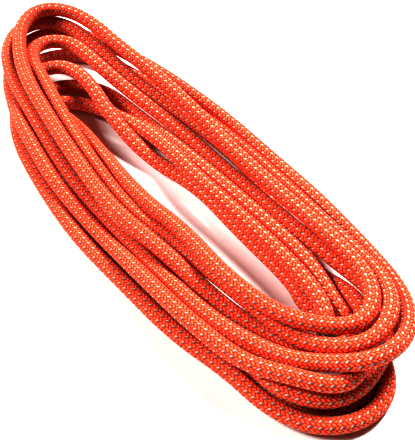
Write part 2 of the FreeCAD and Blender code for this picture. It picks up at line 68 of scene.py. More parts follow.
# Stations of the rope, read from the photograph, in rope diameters: along, across, height.
# The far and near bends are measured from the ends of the straight legs, at -10 and 10.
# Each block is one turn: right leg, far bend, left leg, near bend.
TURNS = [
    [(17.0, 1.2, 0.6), (15.3, 2.3, 1.05), (13.6, 3.4, 1.5), (10, 3.65, 1.55), (5, 3.1, 1.55),
     (0, 2.45, 1.55), (-4, 2.3, 1.2), (-7.5, 1.8, 0.7), (-10.5, 0.5, 0.5), (-12.2, -0.7, 0.5),
     (-13.1, -2.1, 0.5), (-12.8, -3.4, 0.5), (-11.5, -4.1, 0.5), (-9.3, -4.0, 0.5),
     (-5, -3.0, 0.5), (0, -2.0, 0.5),
     (5, -1.8, 0.5), (10, -2.4, 0.5), (13.9, -2.6, 1.2), (17.2, -2.0, 1.5), (19.1, -0.2, 1.4),
     (19.3, 2.1, 1.3), (18.1, 4.5, 1.2)],
    [(16.6, 6.3, 1.1), (14.2, 6.7, 1.3), (10, 5.9, 1.5), (5, 5.3, 1.2), (0, 4.6, 0.9),
     (-5, 3.7, 1.1), (-10.4, 2.6, 1.5), (-13.0, 1.9, 2.1), (-15.3, 1.35, 2.4), (-16.9, 0.75, 2.5),
     (-17.7, -0.6, 2.6), (-17.2, -2.0, 2.7), (-15.5, -2.75, 2.75), (-13.2, -2.9, 2.7), (-10, -3.1, 2.5),
     (-5, -3.15, 2.0), (0, -2.8, 1.5), (4, -1.95, 1.5), (8, -1.35, 1.7), (12.0, -0.6, 2.0),
     (15.0, 0.35, 2.1), (17.0, 2.1, 2.2), (17.5, 4.2, 2.3), (16.3, 6.2, 2.3), (13.8, 7.35, 1.9)],
    [(10, 7.4, 1.6), (5, 7.35, 1.2), (0, 7.15, 0.8), (-5, 6.5, 0.7), (-10, 5.4, 0.6),
     (-13.0, 4.4, 0.5), (-15.9, 3.2, 0.5), (-18.0, 1.2, 0.5), (-18.5, -1.2, 0.5),
     (-17.1, -3.4, 0.5), (-13.6, -5.1, 0.5), (-10, -6.2, 0.5), (-5, -6.6, 0.5), (0, -6.45, 0.5),
     (5, -5.75, 0.5), (10, -4.85, 0.5), (14.0, -3.6, 0.5), (17.3, -2.75, 0.5), (19.7, -1.25, 0.5),
     (20.7, 1.1, 0.5), (20.1, 3.3, 0.5), (18.2, 4.6, 0.5)],
    [(16.0, 4.7, 0.7), (13.8, 4.4, 1.3), (10, 4.7, 1.5), (5, 4.2, 1.5), (0, 3.56, 1.4),
     (-5, 3.0, 0.9), (-9.4, 2.4, 0.5), (-12.3, 1.5, 0.6), (-14.1, -0.1, 0.6), (-14.7, -2.1, 0.6),
     (-13.9, -4.0, 0.5), (-11.9, -4.9, 0.5), (-9.3, -5.0, 0.5), (-5, -4.4, 0.5), (0, -3.2, 0.5),
     (5, -2.95, 0.5), (10, -3.45, 0.5), (13.8, -2.8, 0.5), (17.0, -1.9, 0.5), (19.1, 0.0, 0.5),
     (19.6, 1.9, 0.5), (18.2, 3.4, 0.5)],
    [(15.5, 3.6, 0.5), (12.4, 3.2, 0.5), (10, 3.35, 0.5), (5, 2.9, 0.5), (0, 2.4, 0.5),
     (-4.5, 1.1, 0.5), (-8.7, 0.3, 1.4), (-12.4, 0.2, 2.0), (-14.9, -0.5, 2.0), (-15.6, -2.2, 1.9),
     (-14.6, -3.6, 1.7), (-12.4, -3.5, 1.5), (-9.0, -2.55, 1.5), (-5, -2.3, 1.5), (0, -2.05, 1.6),
     (5, -1.5, 2.3), (10, -1.15, 3.0), (13.75, 0.08, 3.0), (15.95, 2.05, 3.0), (16.5, 3.9, 3.0),
     (15.5, 5.5, 2.9), (13.3, 6.4, 2.7)],
    [(10, 6.4, 2.6), (5, 5.95, 2.4), (0, 5.5, 2.3), (-5, 5.05, 2.6), (-10, 4.4, 2.9),
     (-13.8, 3.7, 3.0), (-17.3, 3.1, 3.1), (-19.8, 2.0, 3.2), (-20.9, 0.2, 3.2), (-20.0, -1.6, 3.1),
     (-17.6, -2.9, 2.9), (-14.4, -3.75, 2.6), (-10, -4.1, 2.2), (-5, -4.2, 1.8),
     (0, -4.05, 1.4), (5, -3.1, 1.3), (10, -1.85, 1.1), (13.5, -0.45, 1.0), (15.8, 1.3, 1.2),
     (16.6, 3.2, 1.5), (15.6, 4.8, 1.5), (13.2, 5.4, 1.0)],
    [(10, 5.2, 0.5), (5, 5.8, 0.9), (0, 5.96, 1.3), (-5, 4.7, 1.8), (-10, 3.2, 2.2),
     (-13.2, 2.6, 2.4), (-16.1, 2.2, 2.6), (-18.6, 1.5, 2.7), (-20.2, 0.0, 2.7), (-20.5, -2.0, 2.2),
     (-18.9, -3.5, 1.9), (-16.4, -4.3, 1.8), (-13.2, -4.7, 1.7), (-10, -4.9, 1.55),
     (-5, -4.9, 1.0), (0, -4.3, 0.5), (5, -3.65, 1.0), (10, -3.0, 1.5), (13.2, -2.2, 1.6),
     (15.8, -0.85, 1.7), (17.7, 0.9, 2.0), (18.9, 2.9, 2.4), (18.6, 5.2, 2.3), (17.1, 7.0, 2.0),
     (14.3, 8.3, 1.4)],
    [(10, 8.85, 0.8), (5, 8.75, 0.7), (0, 8.3, 0.6), (-5, 7.65, 0.7), (-10, 6.6, 0.8),
     (-13.2, 5.35, 1.2), (-16.4, 3.8, 1.6), (-18.8, 1.8, 1.8), (-19.7, -0.6, 1.9),
     (-18.8, -2.9, 1.7), (-16.2, -4.5, 1.5), (-13.1, -5.3, 1.5), (-10, -5.75, 1.6),
     (-5, -5.85, 1.0), (0, -5.3, 0.5), (5, -4.75, 1.0), (10, -4.1, 1.4), (14.3, -2.9, 1.4),
     (16.8, -1.2, 1.6), (18.4, 0.3, 1.7), (18.9, 1.8, 1.6), (18.05, 3.6, 1.5), (17.2, 5.4, 1.5)],
]
LEG_IN_DIAMETERS = 20.0

# A line of order 3 takes three quarters of a route point and an eighth of each neighbour, so the
# route is fitted in rounds until that line passes by the stations
FIT_ROUNDS = 6
POINT_SHARE = 0.75
NEIGHBOUR_SHARE = 0.125

# Settling of the loops onto each other and onto the floor: its rounds, those of them that also
# even the loops out, and how finely the line is read for it and for the box of the coil
SETTLE_ROUNDS = 240
EVEN_ROUNDS = 125
SAMPLES_PER_STATION = 10
FINE = 40

# Stretches nearer than NEIGHBOUR_DISTANCE along the rope aren't pushed apart. Two whose middle
# lines are nearer than CROSSING lie through each other and part along the line of sight. Both are
# in rope diameters. The settling ends when nothing is too near by more than SLACK, in millimetres.
NEIGHBOUR_DISTANCE = 4.5
CROSSING = 0.3
SLACK = 0.02

# Each push goes PUSH times as far as needed. A share of it, EASE, leads straight away from the
# other loop, and the rest along the line of sight. The upper loop takes half of the push and up to
# UPPER_EXTRA more, which grows with the steepness of the push.
PUSH = 1.2
EASE = 0.35
UPPER_EXTRA = 0.25
STEEPNESS = 1.5

# Evening out: how much of a shift follows the neighbours in one round, and how much of it is taken
# back, aside from the line of sight and along it
EVEN_SHARE = 0.35
RETURN_ASIDE = 0.30
RETURN_AHEAD = 0.01

# Where the photograph was taken from, in rope diameters
VIEWPOINT = (43.6, -21.9, 49.0)

# Camera, in the axes of the stations: millimetres, degrees and image pixels
CAMERA_PLACE = (435.7, -219.3, 490.0)
CAMERA_HEADING = 150.0
CAMERA_PITCH = 46.0
CAMERA_FOCAL = 1014.0
PHOTO_WIDTH = 415.0
SENSOR = 36.0
NEAREST_SEEN = 0.01

# The photograph is more contrasty than the light alone makes the picture
PHOTO_GAMMA = 0.56

# Floor and surround: half the floor's width and its drop under the rope, in metres, and the
# strength of the light from all around
FLOOR_HALF = 30.0
FLOOR_DROP = 0.0001
SURROUND_STRENGTH = 0.04

# Braid: yarn bundles lean to one side in even columns and to the other in odd ones. The cell's
# length, the radius in the valleys and the relief over them are in millimetres.
COLUMNS = 16
CELL_LENGTH = 2.8
LEAN_OF_BUNDLE = 0.5
VALLEY_RADIUS = 4.86
RELIEF = 0.36

# How far a bundle, and the pill of painted highlight on it, reach from the middle of their column, in
# columns, and the powers that make their ends blunt and their flanks round. Beyond the pill's reach the
# bundle's ends take painted shade.
BUNDLE_REACH = 0.68
LIT_PILL_REACH = 0.62
END_POWER = 4.0
FLANK_POWER = 2.0

# Fine relief beside that of a bundle, as shares of it, and how often the noise of the filaments
# changes over a bundle's length and over its width
YARN_RELIEF = 0.6
FILAMENT_RELIEF = 0.18
CHANGES_OVER_LENGTH = 3.0
CHANGES_OVER_WIDTH = 26.0

# The two families of bundles: middle column, lean, and shift along the rope in cells
FAMILIES = ((0.5, LEAN_OF_BUNDLE, 0.0), (1.5, -LEAN_OF_BUNDLE, 0.5))

# How fine the meshes are; rows of the bore and of the strands are in millimetres
LINE_RESOLUTION = 32
ROWS_PER_CELL = 5
POINTS_PER_COLUMN = 2
AROUND_SHEATH = COLUMNS * POINTS_PER_COLUMN
BORE_ROW = 4.0
AROUND_STRAND = 9
STRAND_ROW = 4.0
AROUND_END = 48
SLEEVE_STEPS = 48

# The sheath begins at this share of the tip's length, a little under the melt
UNDER_TIP = 0.9

# Core strands: plies, half the depth of the grooves between them as a share of the strand's radius,
# and the length of one turn in millimetres
PLIES = 3.0
PLY_DEPTH = 0.12
LAY_LENGTH = 42.0

# Bake maps: strips that a long tube is laid out in, and the share of the sheath's map for its outside
OUTSIDE_STRIPS = 14
BORE_STRIPS = 2
STRAND_STRIPS = 30
OUTSIDE_SHARE = 0.93

# Shrunk film: lip as (distance from the edge, depth under the outside), how much of the braid shows
# through, the braid's mean height, and the film's own unevenness, in millimetres
LIP = ((0.0, 0.25), (0.12, 0.06))
FILM_BRAID = 0.09
MEAN_HEIGHT = 0.6
FILM_UNEVEN = 0.05
JUST_OUTSIDE = 0.1

# Melted end: how far its bead stands out of the rope, its outline as (distance from the end, depth
# under the bead), its unevenness, and the radius inside which that fades, in millimetres
BEAD = 0.16
TIP_OUTLINE = ((2.6, 0.26), (2.35, 0.05), (2.0, 0.0), (1.6, -0.02), (1.2, 0.05), (0.85, 0.25), (0.55, 0.6),
               (0.34, 1.05), (0.22, 1.6), (0.16, 2.3), (0.16, 3.1), (0.2, 3.9), (0.22, 4.6))
TIP_UNEVEN = 0.09
CALM_RADIUS = 2.0

# Waves of melted or shrunk plastic: share, waves around, phase per metre along, and where the wave starts
WAVES = ((0.5, 3.0, 900.0, 0.0), (0.3, 5.0, -1700.0, 1.0), (0.2, 2.0, 2600.0, 2.3))

# Colours of the sheath's yarns, and of the painted highlight and painted shade on them
ORANGE = (0.80, 0.036, 0.010, 1.0)
# Painted highlight on the crests of the bundles, also streaked along the filaments
LIT_ORANGE = (0.92, 0.250, 0.130, 1.0)
# Painted shade at the rims of the bundles and between their yarns; also the darker dye of some bundles, at
# random
SHADE_AND_DYE_RED = (0.38, 0.006, 0.002, 1.0)
WHITE_YARN = (0.64, 0.56, 0.48, 1.0)
GREY_YARN = (0.190, 0.150, 0.115, 1.0)
SHEEN_TINT = (1.0, 0.45, 0.25, 1.0)

# Colours of the core, the film, the melted ends and the floor
UNDYED = (0.90, 0.89, 0.85, 1.0)
UNDYED_SHADE = (0.74, 0.72, 0.66, 1.0)
UNDYED_YELLOWED = (0.80, 0.74, 0.64, 1.0)
FILM_BLACK = (0.010, 0.010, 0.011, 1.0)
FILM_WORN = (0.030, 0.029, 0.030, 1.0)
MELTED_RED = (0.30, 0.030, 0.010, 1.0)
MELTED_ORANGE = (0.62, 0.16, 0.06, 1.0)
MELTED_WHITE = (0.70, 0.55, 0.42, 1.0)
BURNED = (0.05, 0.015, 0.010, 1.0)
FLOOR_WHITE = (0.92, 0.92, 0.92, 1.0)
FLOOR_SHADE = (0.88, 0.88, 0.88, 1.0)

# Sockets of the mix node when it mixes colours
MIX_SHARE, MIX_FIRST, MIX_SECOND, MIX_RESULT = 0, 6, 7, 2

# A point read from the line: its place, the number of its bend, the weights of the route's points
# before, at and after that bend, and its distance from the start
Sample = collections.namedtuple("Sample", "place bend weights distance")

# Shader nodes of one family of bundles
Bundle = collections.namedtuple("Bundle", "height across along row")


# Vectors as plain triples
def add(a, b):
    return (a[0] + b[0], a[1] + b[1], a[2] + b[2])


def sub(a, b):
    return (a[0] - b[0], a[1] - b[1], a[2] - b[2])


def scaled(a, factor):
    return (a[0] * factor, a[1] * factor, a[2] * factor)


def dot(a, b):
    return a[0] * b[0] + a[1] * b[1] + a[2] * b[2]


def length(a):
    return math.sqrt(dot(a, a))


def unit(a):
    return scaled(a, 1.0 / length(a))


def between(a, b, share):
    return add(scaled(a, 1.0 - share), scaled(b, share))


# Route of the middle line of the rope
def stations(rope, leg):
    """Stations in millimetres; a longer leg moves the two bends apart."""
    stretch = (leg - LEG_IN_DIAMETERS * rope) / 2.0
    points = []
    for turn in TURNS:
        for along, across, height in turn:
            side = max(-1.0, min(1.0, 2.0 * along / LEG_IN_DIAMETERS))
            points.append((along * rope + side * stretch, across * rope, height * rope))
    return points


def straight_ends(points):
    """The second point from each end lies midway, so that the rope starts and ends straight."""
    points[1] = between(points[0], points[2], 0.5)
    points[-2] = between(points[-1], points[-3], 0.5)


def route_through(points):
    """Points of the route whose smooth line passes by the stations."""
    route = list(points)
    for _ in range(FIT_ROUNDS):
        old = list(route)
        for i in range(1, len(points) - 1):
            beside = add(old[i - 1], old[i + 1])
            reached = add(scaled(old[i], POINT_SHARE), scaled(beside, NEIGHBOUR_SHARE))
            route[i] = add(old[i], sub(points[i], reached))
        straight_ends(route)
    return route


def bend_ends(route):
    """The smooth line bends once at each inner point of the route, and each bend starts and ends
    in the middle between two points; the first starts and the last ends at the rope's end."""
    middles = [between(a, b, 0.5) for a, b in zip(route[1:-2], route[2:-1])]
    return [route[0]] + middles + [route[-1]]


def line_points(route, count):
    """Samples of the smooth line, so many to each bend, for the settling."""
    ends = bend_ends(route)
    result = []
    last = len(route) - 2
    for bend in range(1, len(route) - 1):
        for k in range(count + (bend == last)):
            share = k / count
            before = (1.0 - share) ** 2 * (1.0 if bend == 1 else 0.5)
            after = share ** 2 * (1.0 if bend == last else 0.5)
            start_and_end = add(scaled(ends[bend - 1], (1.0 - share) ** 2), scaled(ends[bend], share ** 2))
            place = add(start_and_end, scaled(route[bend], 2.0 * share * (1.0 - share)))
            distance = 0.0
            if result:
                distance = result[-1].distance + length(sub(place, result[-1].place))
            result.append(Sample(place, bend, (before, 1.0 - before - after, after), distance))
    return result


def close_pairs(line, reach, apart):
    """Pairs of samples nearer than reach, and farther than apart along the rope."""
    cells = {}
    for n, sample in enumerate(line):
        cell = tuple(int(math.floor(value / reach)) for value in sample.place)
        cells.setdefault(cell, []).append(n)
    around = [(dx, dy, dz) for dx in (-1, 0, 1) for dy in (-1, 0, 1) for dz in (-1, 0, 1)]
    pairs = []
    for n, sample in enumerate(line):
        x, y, z = (int(math.floor(value / reach)) for value in sample.place)
        for dx, dy, dz in around:
            for m in cells.get((x + dx, y + dy, z + dz), ()):
                if m > n and line[m].distance - sample.distance > apart:
                    gap = sub(sample.place, line[m].place)
                    if dot(gap, gap) < reach * reach:
                        pairs.append((n, m))
    return pairs


class Pushes:
    """The moves that one round of the settling asks of the route's points."""

    def __init__(self, line, count):
        self.line = line
        self.total = line[-1].distance
        self.moves = [(0.0, 0.0, 0.0)] * count
        self.weights = [0.0] * count
        self.worst = 0.0

    def in_sleeve(self, distance):
        return min(distance, self.total - distance) < SLEEVE_REACH

    def push(self, number, move):
        """A sample's move goes to the three points of the route that its place depends on."""
        sample = self.line[number]
        for index, weight in zip(range(sample.bend - 1, sample.bend + 2), sample.weights):
            self.moves[index] = add(self.moves[index], scaled(move, weight))
            self.weights[index] += weight

    def move(self, route):
        for i, weight in enumerate(self.weights):
            if weight > 0.0:
                route[i] = add(route[i], scaled(self.moves[i], PUSH / weight))


def push_apart(pushes, home, sights):
    """Push stretches that are too near apart, mostly along the line of sight. The lower loop gives
    way less than the upper one."""
    line = pushes.line
    reach = ROPE + LOOP_GAP + SLEEVE_ROOM
    for n, m in close_pairs(line, reach, NEIGHBOUR_DISTANCE * ROPE):
        need = ROPE + LOOP_GAP
        if min(line[n].distance, pushes.total - line[m].distance) < SLEEVE_REACH:
            need += SLEEVE_ROOM
        way = sub(line[n].place, line[m].place)
        apart = length(way)
        short = need - apart
        if short <= 0.0:
            continue
        pushes.worst = max(pushes.worst, short)
        sight = sights[line[n].bend]
        if apart < CROSSING * ROPE:
            upward = home[line[n].bend][2] >= home[line[m].bend][2]
            way = scaled(sight, 1.0 if upward else -1.0)
        else:
            way = scaled(way, 1.0 / apart)
        push = add(scaled(way, EASE), scaled(sight, (1.0 - EASE) * dot(way, sight)))
        push = scaled(push, short / dot(push, way))
        upper = 0.5 + UPPER_EXTRA * min(1.0, STEEPNESS * abs(way[2]))
        share = upper if way[2] > 0.0 else 1.0 - upper
        pushes.push(n, scaled(push, share))
        pushes.push(m, scaled(push, share - 1.0))


def lift_off_floor(pushes):
    """Lift what lies lower than the rope's radius, or than a sleeve that stands on its flat."""
    for n, sample in enumerate(pushes.line):
        floor = SLEEVE_FLOOR if pushes.in_sleeve(sample.distance) else ROPE / 2.0
        short = floor - sample.place[2]
        if short > 0.0:
            pushes.worst = max(pushes.worst, short)
            pushes.push(n, (0.0, 0.0, short))


def even_out(route, home, sights):
    """Share each point's shift with its neighbours, and let what was pushed aside return to its
    line of sight."""
    shifts = [sub(point, start) for point, start in zip(route, home)]
    for i in range(1, len(route) - 1):
        even = between(shifts[i - 1], shifts[i + 1], 0.5)
        shift = add(shifts[i], scaled(sub(even, shifts[i]), EVEN_SHARE))
        ahead = scaled(sights[i], dot(shift, sights[i]))
        aside = sub(shift, ahead)
        kept = add(scaled(ahead, 1.0 - RETURN_AHEAD), scaled(aside, 1.0 - RETURN_ASIDE))
        route[i] = add(home[i], kept)


def settle(home):
    """Push the loops apart and off the floor until no two stretches are nearer than the rope and
    its gap."""
    sights = [unit(sub(scaled(VIEWPOINT, ROPE), point)) for point in home]
    route = list(home)
    for turn in range(SETTLE_ROUNDS):
        pushes = Pushes(line_points(route, SAMPLES_PER_STATION), len(route))
        push_apart(pushes, home, sights)
        lift_off_floor(pushes)
        pushes.move(route)
        if turn < EVEN_ROUNDS:
            even_out(route, home, sights)
        straight_ends(route)
        if pushes.worst < SLACK:
            break
    return route


def centred(route, depth):
    """The route moved so that the origin is on the floor under the middle of the coil, and down
    by the depth of the pressed flat."""
    places = [sample.place for sample in line_points(route, FINE)]
    middle = [(min(p[axis] for p in places) + max(p[axis] for p in places)) / 2.0 for axis in (0, 1)]
    return [sub(point, (middle[0], middle[1], depth)) for point in route]


def settled_route():
    """The route's points as in the CAD, in its frame, and how far the frame is from the stations."""
    route = settle(route_through(stations(ROPE, LEG)))
    moved = centred(route, RESTING_FLAT)
    return moved, sub(moved[0], route[0])


def smooth_line(route):
    """Points read from the NURBS spline through the route's points, in metres."""
    curve = bpy.data.curves.new("route", "CURVE")
    curve.dimensions = "3D"
    spline = curve.splines.new("NURBS")
    spline.points.add(len(route) - 1)
    for point, place in zip(spline.points, route):
        point.co = (place[0] * MM, place[1] * MM, place[2] * MM, 1.0)
    spline.order_u = 3
    spline.use_endpoint_u = True
    spline.resolution_u = LINE_RESOLUTION
    holder = bpy.data.objects.new("route", curve)
    mesh = bpy.data.meshes.new_from_object(holder)
    line = np.empty(len(mesh.vertices) * 3)
    mesh.vertices.foreach_get("co", line)
    bpy.data.meshes.remove(mesh)
    bpy.data.objects.remove(holder)
    bpy.data.curves.remove(curve)
    return line.reshape(-1, 3)


def unit_rows(rows):
    return rows / np.linalg.norm(rows, axis=-1, keepdims=True)


class RopeLine:
    """The rope's line with a section that doesn't twist: distances, places, sides and ups."""

    def __init__(self, points):
        steps = np.linalg.norm(np.diff(points, axis=0), axis=1)
        self.points = points
        self.distances = np.concatenate([[0.0], np.cumsum(steps)])
        self.length = float(self.distances[-1])
        tangents = unit_rows(np.gradient(points, axis=0))
        tangents[0] = unit_rows(points[1] - points[0])
        tangents[-1] = unit_rows(points[-1] - points[-2])
        sides = np.empty_like(points)
        sides[0] = unit_rows(np.cross((0.0, 0.0, 1.0), tangents[0]))
        for i in range(1, len(points)):
            side = sides[i - 1] - tangents[i] * np.dot(sides[i - 1], tangents[i])
            sides[i] = side / np.linalg.norm(side)
        self.sides = sides
        self.ups = np.cross(tangents, sides)

    def read(self, rows, distances):
        """Rows between those of the line's points, at any distances along it."""
        axes = [np.interp(distances, self.distances, rows[:, axis]) for axis in range(3)]
        return np.stack(axes, axis=-1)

    def places(self, distances, angles, radii):
        """Places around the line; distances, angles and radii are arrays of one shape, in metres."""
        inside = np.clip(distances, 0.0, self.length)
        centre = self.read(self.points, inside)
        side = unit_rows(self.read(self.sides, inside))
        up = unit_rows(self.read(self.ups, inside))
        out = side * np.cos(angles)[..., None] + up * np.sin(angles)[..., None]
        return centre + out * radii[..., None]


# Meshes
def grid_quads(rows, columns):
    """Corner numbers of the quads of a grid that closes around the rope."""
    row, column = np.meshgrid(np.arange(rows - 1), np.arange(columns), indexing="ij")
    after = (column + 1) % columns
    quads = np.stack([row * columns + column, row * columns + after,
                      (row + 1) * columns + after, (row + 1) * columns + column], axis=-1)
    return quads.reshape(-1, 4)


def closed_quads(rows, columns):
    """The same for a grid whose last row joins its first one too, as in a tube with a bore."""
    here = np.arange(columns)
    after = (here + 1) % columns
    last = (rows - 1) * columns
    joining = np.stack([last + here, last + after, after, here], axis=-1)
    return np.concatenate([grid_quads(rows, columns), joining])


def mesh_of(name, places, quads, triangles=()):
    """A smooth mesh of quads and a few triangles."""
    mesh = bpy.data.meshes.new(name)
    triangles = np.array(triangles, int).reshape(-1, 3)
    corners = np.concatenate([quads.reshape(-1), triangles.reshape(-1)])
    sizes = np.concatenate([np.full(len(quads), 4), np.full(len(triangles), 3)])
    starts = np.concatenate([[0], np.cumsum(sizes)[:-1]])
    mesh.vertices.add(len(places))
    mesh.vertices.foreach_set("co", places.astype(np.float32).reshape(-1))
    mesh.loops.add(len(corners))
    mesh.loops.foreach_set("vertex_index", corners.astype(np.int32))
    mesh.polygons.add(len(sizes))
    mesh.polygons.foreach_set("loop_start", starts.astype(np.int32))
    mesh.update(calc_edges=True)
    mesh.polygons.foreach_set("use_smooth", np.ones(len(sizes), bool))
    mesh.validate()
    return mesh


def add_uv(mesh, name, corners):
    layer = mesh.uv_layers.new(name=name)
    layer.data.foreach_set("uv", corners.astype(np.float32).reshape(-1))


def turned_over(corners):
    """Map corners of quads in the other order, for quads that were turned over."""
    return corners.reshape(-1, 4, 2)[:, ::-1].reshape(-1, 2)


def add_piece(name, mesh, material, node):
    piece = bpy.data.objects.new(name, mesh)
    bpy.context.scene.collection.objects.link(piece)
    mesh.materials.append(material)
    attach(piece, "root")
    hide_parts(node)
    return piece


def strip_uv(rows, columns, strips, low, high):
    """A bake map for a long tube: its strips lie side by side between two heights of the map, each
    with a margin at its sides and its ends."""
    side_margin = 0.02
    end_margin = 0.002
    row, column = np.meshgrid(np.arange(rows - 1), np.arange(columns), indexing="ij")
    per_strip = math.ceil((rows - 1) / strips)
    strip = row // per_strip
    inner = row % per_strip
    result = []
    for corner_row, corner_column in ((0, 0), (0, 1), (1, 1), (1, 0)):
        along = end_margin + (1.0 - 2.0 * end_margin) * (inner + corner_row) / per_strip
        across = side_margin + (1.0 - 2.0 * side_margin) * (column + corner_column) / columns
        result.append(np.stack([along, low + (high - low) * (strip + across) / strips], axis=-1))
    return np.stack(result, axis=2).reshape(-1, 2)


# Braid
def bundle_height(across, along):
    """Height of a yarn bundle, from 0 to 1: across its column and along the rope."""
    ends = np.clip(1.0 - np.abs(across / BUNDLE_REACH) ** END_POWER, 0.0, 1.0)
    flanks = np.clip(1.0 - np.abs(2.0 * along) ** FLANK_POWER, 0.0, 1.0)
    return ends * flanks


def wrapped(values):
    """Columns counted from the nearest middle column of a family, from -1 to 1."""
    return (values + 1.0) % 2.0 - 1.0


def braid_height(columns, cells):
    """Height of the braid over its valleys. columns counts around the rope, cells along it."""
    heights = []
    for centre, lean, shift in FAMILIES:
        across = wrapped(columns - centre)
        rows = cells + lean * across + shift
        heights.append(bundle_height(across, rows % 1.0 - 0.5))
    return np.maximum(heights[0], heights[1])


def column_angles(columns):
    return 2.0 * math.pi * columns / COLUMNS


def sheath_outside(line, start, cell, cells):
    """Places of the sheath's outside, and how far along the braid each is, in cells. The rows swing
    with the bundles, but not at the sheath's ends."""
    row, point = np.meshgrid(np.arange(cells * ROWS_PER_CELL + 1), np.arange(AROUND_SHEATH), indexing="ij")
    columns = point / POINTS_PER_COLUMN
    level = row / ROWS_PER_CELL
    fade = np.clip(np.minimum(level, cells - level), 0.0, 1.0)
    along = level + 0.5 * LEAN_OF_BUNDLE * np.cos(math.pi * columns) * fade
    radii = (VALLEY_RADIUS + RELIEF * braid_height(columns, along)) * MM
    places = line.places(start + along * cell, column_angles(columns), radii)
    places[..., 2] = np.maximum(places[..., 2], 0.0)
    return places, along


def sheath_bore(line, start, end):
    """Places of the bore, from the far end back to the start, and the distance of each row."""
    rows = round((end - start) / (BORE_ROW * MM)) + 1
    distances = np.repeat(np.linspace(end, start, rows)[:, None], AROUND_SHEATH, axis=1)
    angles = np.repeat(column_angles(np.arange(AROUND_SHEATH) / POINTS_PER_COLUMN)[None, :], rows, axis=0)
    return line.places(distances, angles, np.full(distances.shape, BORE_RADIUS * MM)), distances


def braid_uv(cells):
    """The braid's map for each corner of each quad: columns around the rope and cells along it. The
    columns go on counting over the seam, so that the pattern has no jump there."""
    here = np.arange(AROUND_SHEATH) / POINTS_PER_COLUMN
    ahead = (np.arange(AROUND_SHEATH) + 1) / POINTS_PER_COLUMN
    after = (np.arange(AROUND_SHEATH) + 1) % AROUND_SHEATH
    upper = np.concatenate([cells[1:], cells[:1]])
    corners = ((here, cells), (ahead, cells[:, after]), (ahead, upper[:, after]), (here, upper))
    stacked = [np.stack([np.broadcast_to(u, v.shape), v], axis=-1) for u, v in corners]
    return np.stack(stacked, axis=2).reshape(-1, 2)


def make_sheath(line, material):
    """The braided sheath: outside with relief, bore, and a flat rim at both ends. Returned with
    points along its middle."""
    start = TIP_LENGTH * MM * UNDER_TIP
    end = line.length - start
    cells = round((end - start) / (CELL_LENGTH * MM))
    cell = (end - start) / cells
    outside, cells_outside = sheath_outside(line, start, cell, cells)
    bore, bore_distances = sheath_bore(line, start, end)
    places = np.concatenate([outside, bore])
    quads = closed_quads(len(places), AROUND_SHEATH)[:, ::-1]
    mesh = mesh_of("braided_sheath", places.reshape(-1, 3), quads)

    cells_along = np.concatenate([cells_outside, (bore_distances - start) / cell])
    add_uv(mesh, "braid", turned_over(braid_uv(cells_along)))
    # The bore's strips take the rims at both ends too.
    bake = np.concatenate([strip_uv(len(outside), AROUND_SHEATH, OUTSIDE_STRIPS, 0.0, OUTSIDE_SHARE),
                           strip_uv(len(bore) + 2, AROUND_SHEATH, BORE_STRIPS, OUTSIDE_SHARE, 1.0)])
    add_uv(mesh, "OFBake", turned_over(bake))
    mesh.uv_layers["braid"].active_render = True
    middle = line.read(line.points, np.arange(start, end, CELL_LENGTH * MM))
    return add_piece("braided_sheath", mesh, material, "rope_sheath"), middle


def core_rings():
    """Radius of a core strand, and of the rings that the inner and the outer strands lie in. Three
    strands lie together, and the others between them and the bore, with one clearance throughout."""
    root = math.sqrt(3.0)
    strand = (root * (BORE_RADIUS - 2.0 * CORE_CLEARANCE) - CORE_CLEARANCE) / (2.0 + 3.0 * root)
    outer = BORE_RADIUS - CORE_CLEARANCE - strand
    return strand, outer - 2.0 * strand - CORE_CLEARANCE, outer


def make_core_yarn(line, material, number, ring, angle, radius):
    """One core strand: three twisted plies around each other, inside the sheath."""
    start, end = TIP_LENGTH * MM, line.length - TIP_LENGTH * MM
    rows = round((end - start) / (STRAND_ROW * MM)) + 1
    distance, point = np.meshgrid(np.linspace(start, end, rows), np.arange(AROUND_STRAND), indexing="ij")
    turn = 2.0 * math.pi * distance / (LAY_LENGTH * MM)
    local = 2.0 * math.pi * point / AROUND_STRAND + turn
    size = radius * MM * (1.0 - PLY_DEPTH + PLY_DEPTH * np.cos(PLIES * (local - turn)))
    side = ring * MM * math.cos(angle) + size * np.cos(local)
    up = ring * MM * math.sin(angle) + size * np.sin(local)
    places = line.places(distance, np.arctan2(up, side), np.hypot(side, up)).reshape(-1, 3)
    caps = []
    for first, order in ((0, 1), ((rows - 1) * AROUND_STRAND, -1)):
        for i in range(1, AROUND_STRAND - 1):
            caps.append([first, first + i + 1, first + i][::order])
    mesh = mesh_of("core_yarn_%02d" % number, places, grid_quads(rows, AROUND_STRAND)[:, ::-1], caps)
    bake = turned_over(strip_uv(rows, AROUND_STRAND, STRAND_STRIPS, 0.0, 1.0))
    add_uv(mesh, "OFBake", np.concatenate([bake, np.zeros((len(caps) * 3, 2))]))
    return add_piece("core_yarn_%02d" % number, mesh, material, "core_strand_%02d" % number)


def bumps(distance, angle):
    """Gentle unevenness of melted or shrunk plastic, from -1 to 1."""
    return sum(share * np.sin(around * angle + along * distance + start)
               for share, around, along, start in WAVES)


def turned_places(line, profile, flip, uneven):
    """Places around the rope's line for a profile of (distance from the end, radius). uneven gives
    what is added to the radius."""
    distance = np.repeat(np.array([p[0] for p in profile])[:, None], AROUND_END, axis=1) * MM
    radius = np.repeat(np.array([p[1] for p in profile])[:, None], AROUND_END, axis=1) * MM
    angle = np.repeat(2.0 * math.pi * np.arange(AROUND_END)[None, :] / AROUND_END, len(profile), axis=0)
    radius = radius + uneven(distance, angle, radius)
    return line.places(line.length - distance if flip else distance, angle, radius).reshape(-1, 3)


